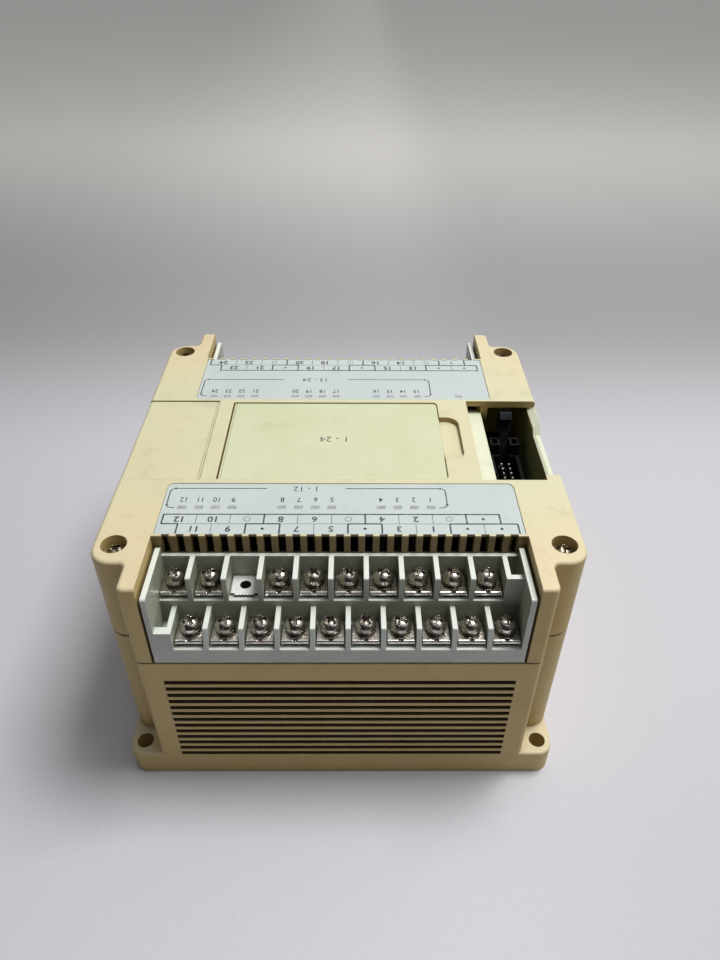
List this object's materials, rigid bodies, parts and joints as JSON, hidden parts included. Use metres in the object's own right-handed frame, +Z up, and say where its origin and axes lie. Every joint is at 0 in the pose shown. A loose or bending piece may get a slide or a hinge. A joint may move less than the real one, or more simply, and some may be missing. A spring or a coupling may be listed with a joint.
{
  "type": "plc module",
  "caption": "Relay output expansion module for a programmable controller: vented cream case, stepped barrier terminals at both ends, flip-up lid, bus header bay and panel ears.",
  "frame": {"origin": "centre of the underside of the case", "axes": "+X to the side with the open bus header bay, +Y away from the front terminals, +Z up out of the mounting face"},
  "size_m": [0.132, 0.138, 0.083],
  "materials": {
    "case_cream": "fine moulded texture, aged cream",
    "lid_cream": "smooth moulded, aged cream",
    "label_white": "printed sheet",
    "terminal_grey": "moulded light grey",
    "nickel": "nickel plated",
    "black_plastic": "moulded black",
    "pin_gold": "plated",
    "board_green": "varnished laminate",
    "lamp_red": "moulded, tinted",
    "pipe_clear": "clear bars",
    "tinned_wire": "tinned",
    "relay_case": "sealed cube",
    "ferrite": "pressed ferrite",
    "winding": "enamelled wire on a bobbin",
    "can_sleeve": "sleeved can",
    "standoff_brass": "turned",
    "latch_grey": "moulded dark grey"
  },
  "bodies": {
    "case": {"base_case": "case_cream", "top_case": "case_cream", "front_label": "label_white", "rear_label": "label_white", "front_terminal_block": "terminal_grey", "rear_terminal_block": "terminal_grey", "terminal_plates": "nickel", "clamp_washers": "nickel", "spring_washers": "nickel", "terminal_screws": "nickel", "case_screws": "nickel", "bus_header": "black_plastic", "bus_header_pins": "pin_gold", "logic_board": "board_green", "logic_chips": "black_plastic", "front_indicators": "lamp_red", "rear_indicators": "lamp_red", "front_light_pipes": "pipe_clear", "rear_light_pipes": "pipe_clear", "front_terminal_board": "board_green", "rear_terminal_board": "board_green", "front_link_wires": "tinned_wire", "rear_link_wires": "tinned_wire", "logic_link_pins": "pin_gold", "relay_board": "board_green", "relays": "relay_case", "transformer_core": "ferrite", "transformer_winding": "winding", "filter_capacitors": "can_sleeve", "board_standoffs": "standoff_brass", "board_screws": "nickel"},
    "lid": {"centre_lid": "lid_cream"},
    "left_cover": {"left_port_cover": "case_cream"},
    "front_lever": {"front_ejector": "black_plastic"},
    "rear_lever": {"rear_ejector": "black_plastic"},
    "rail_latch": {"din_latch": "latch_grey"}
  },
  "joints": [
    {"name": "lid_hinge", "type": "hinge", "parent": "case", "child": "lid", "pos_m": [-0.03585, 0, 0.0818], "axis": [0, -1, 0], "range_deg": [0, 95]},
    {"name": "left_cover_lift", "type": "slide", "parent": "case", "child": "left_cover", "axis": [0, 0, 1], "range_m": [0, 0.03]},
    {"name": "front_ejector_hinge", "type": "hinge", "parent": "case", "child": "front_lever", "pos_m": [0.0558, -0.0176, 0.062], "axis": [1, 0, 0], "range_deg": [-20, 25]},
    {"name": "rear_ejector_hinge", "type": "hinge", "parent": "case", "child": "rear_lever", "pos_m": [0.0558, 0.0126, 0.062], "axis": [-1, 0, 0], "range_deg": [-20, 25]},
    {"name": "din_latch_slide", "type": "slide", "parent": "case", "child": "rail_latch", "axis": [0, 1, 0], "range_m": [0, 0.003]}
  ]
}
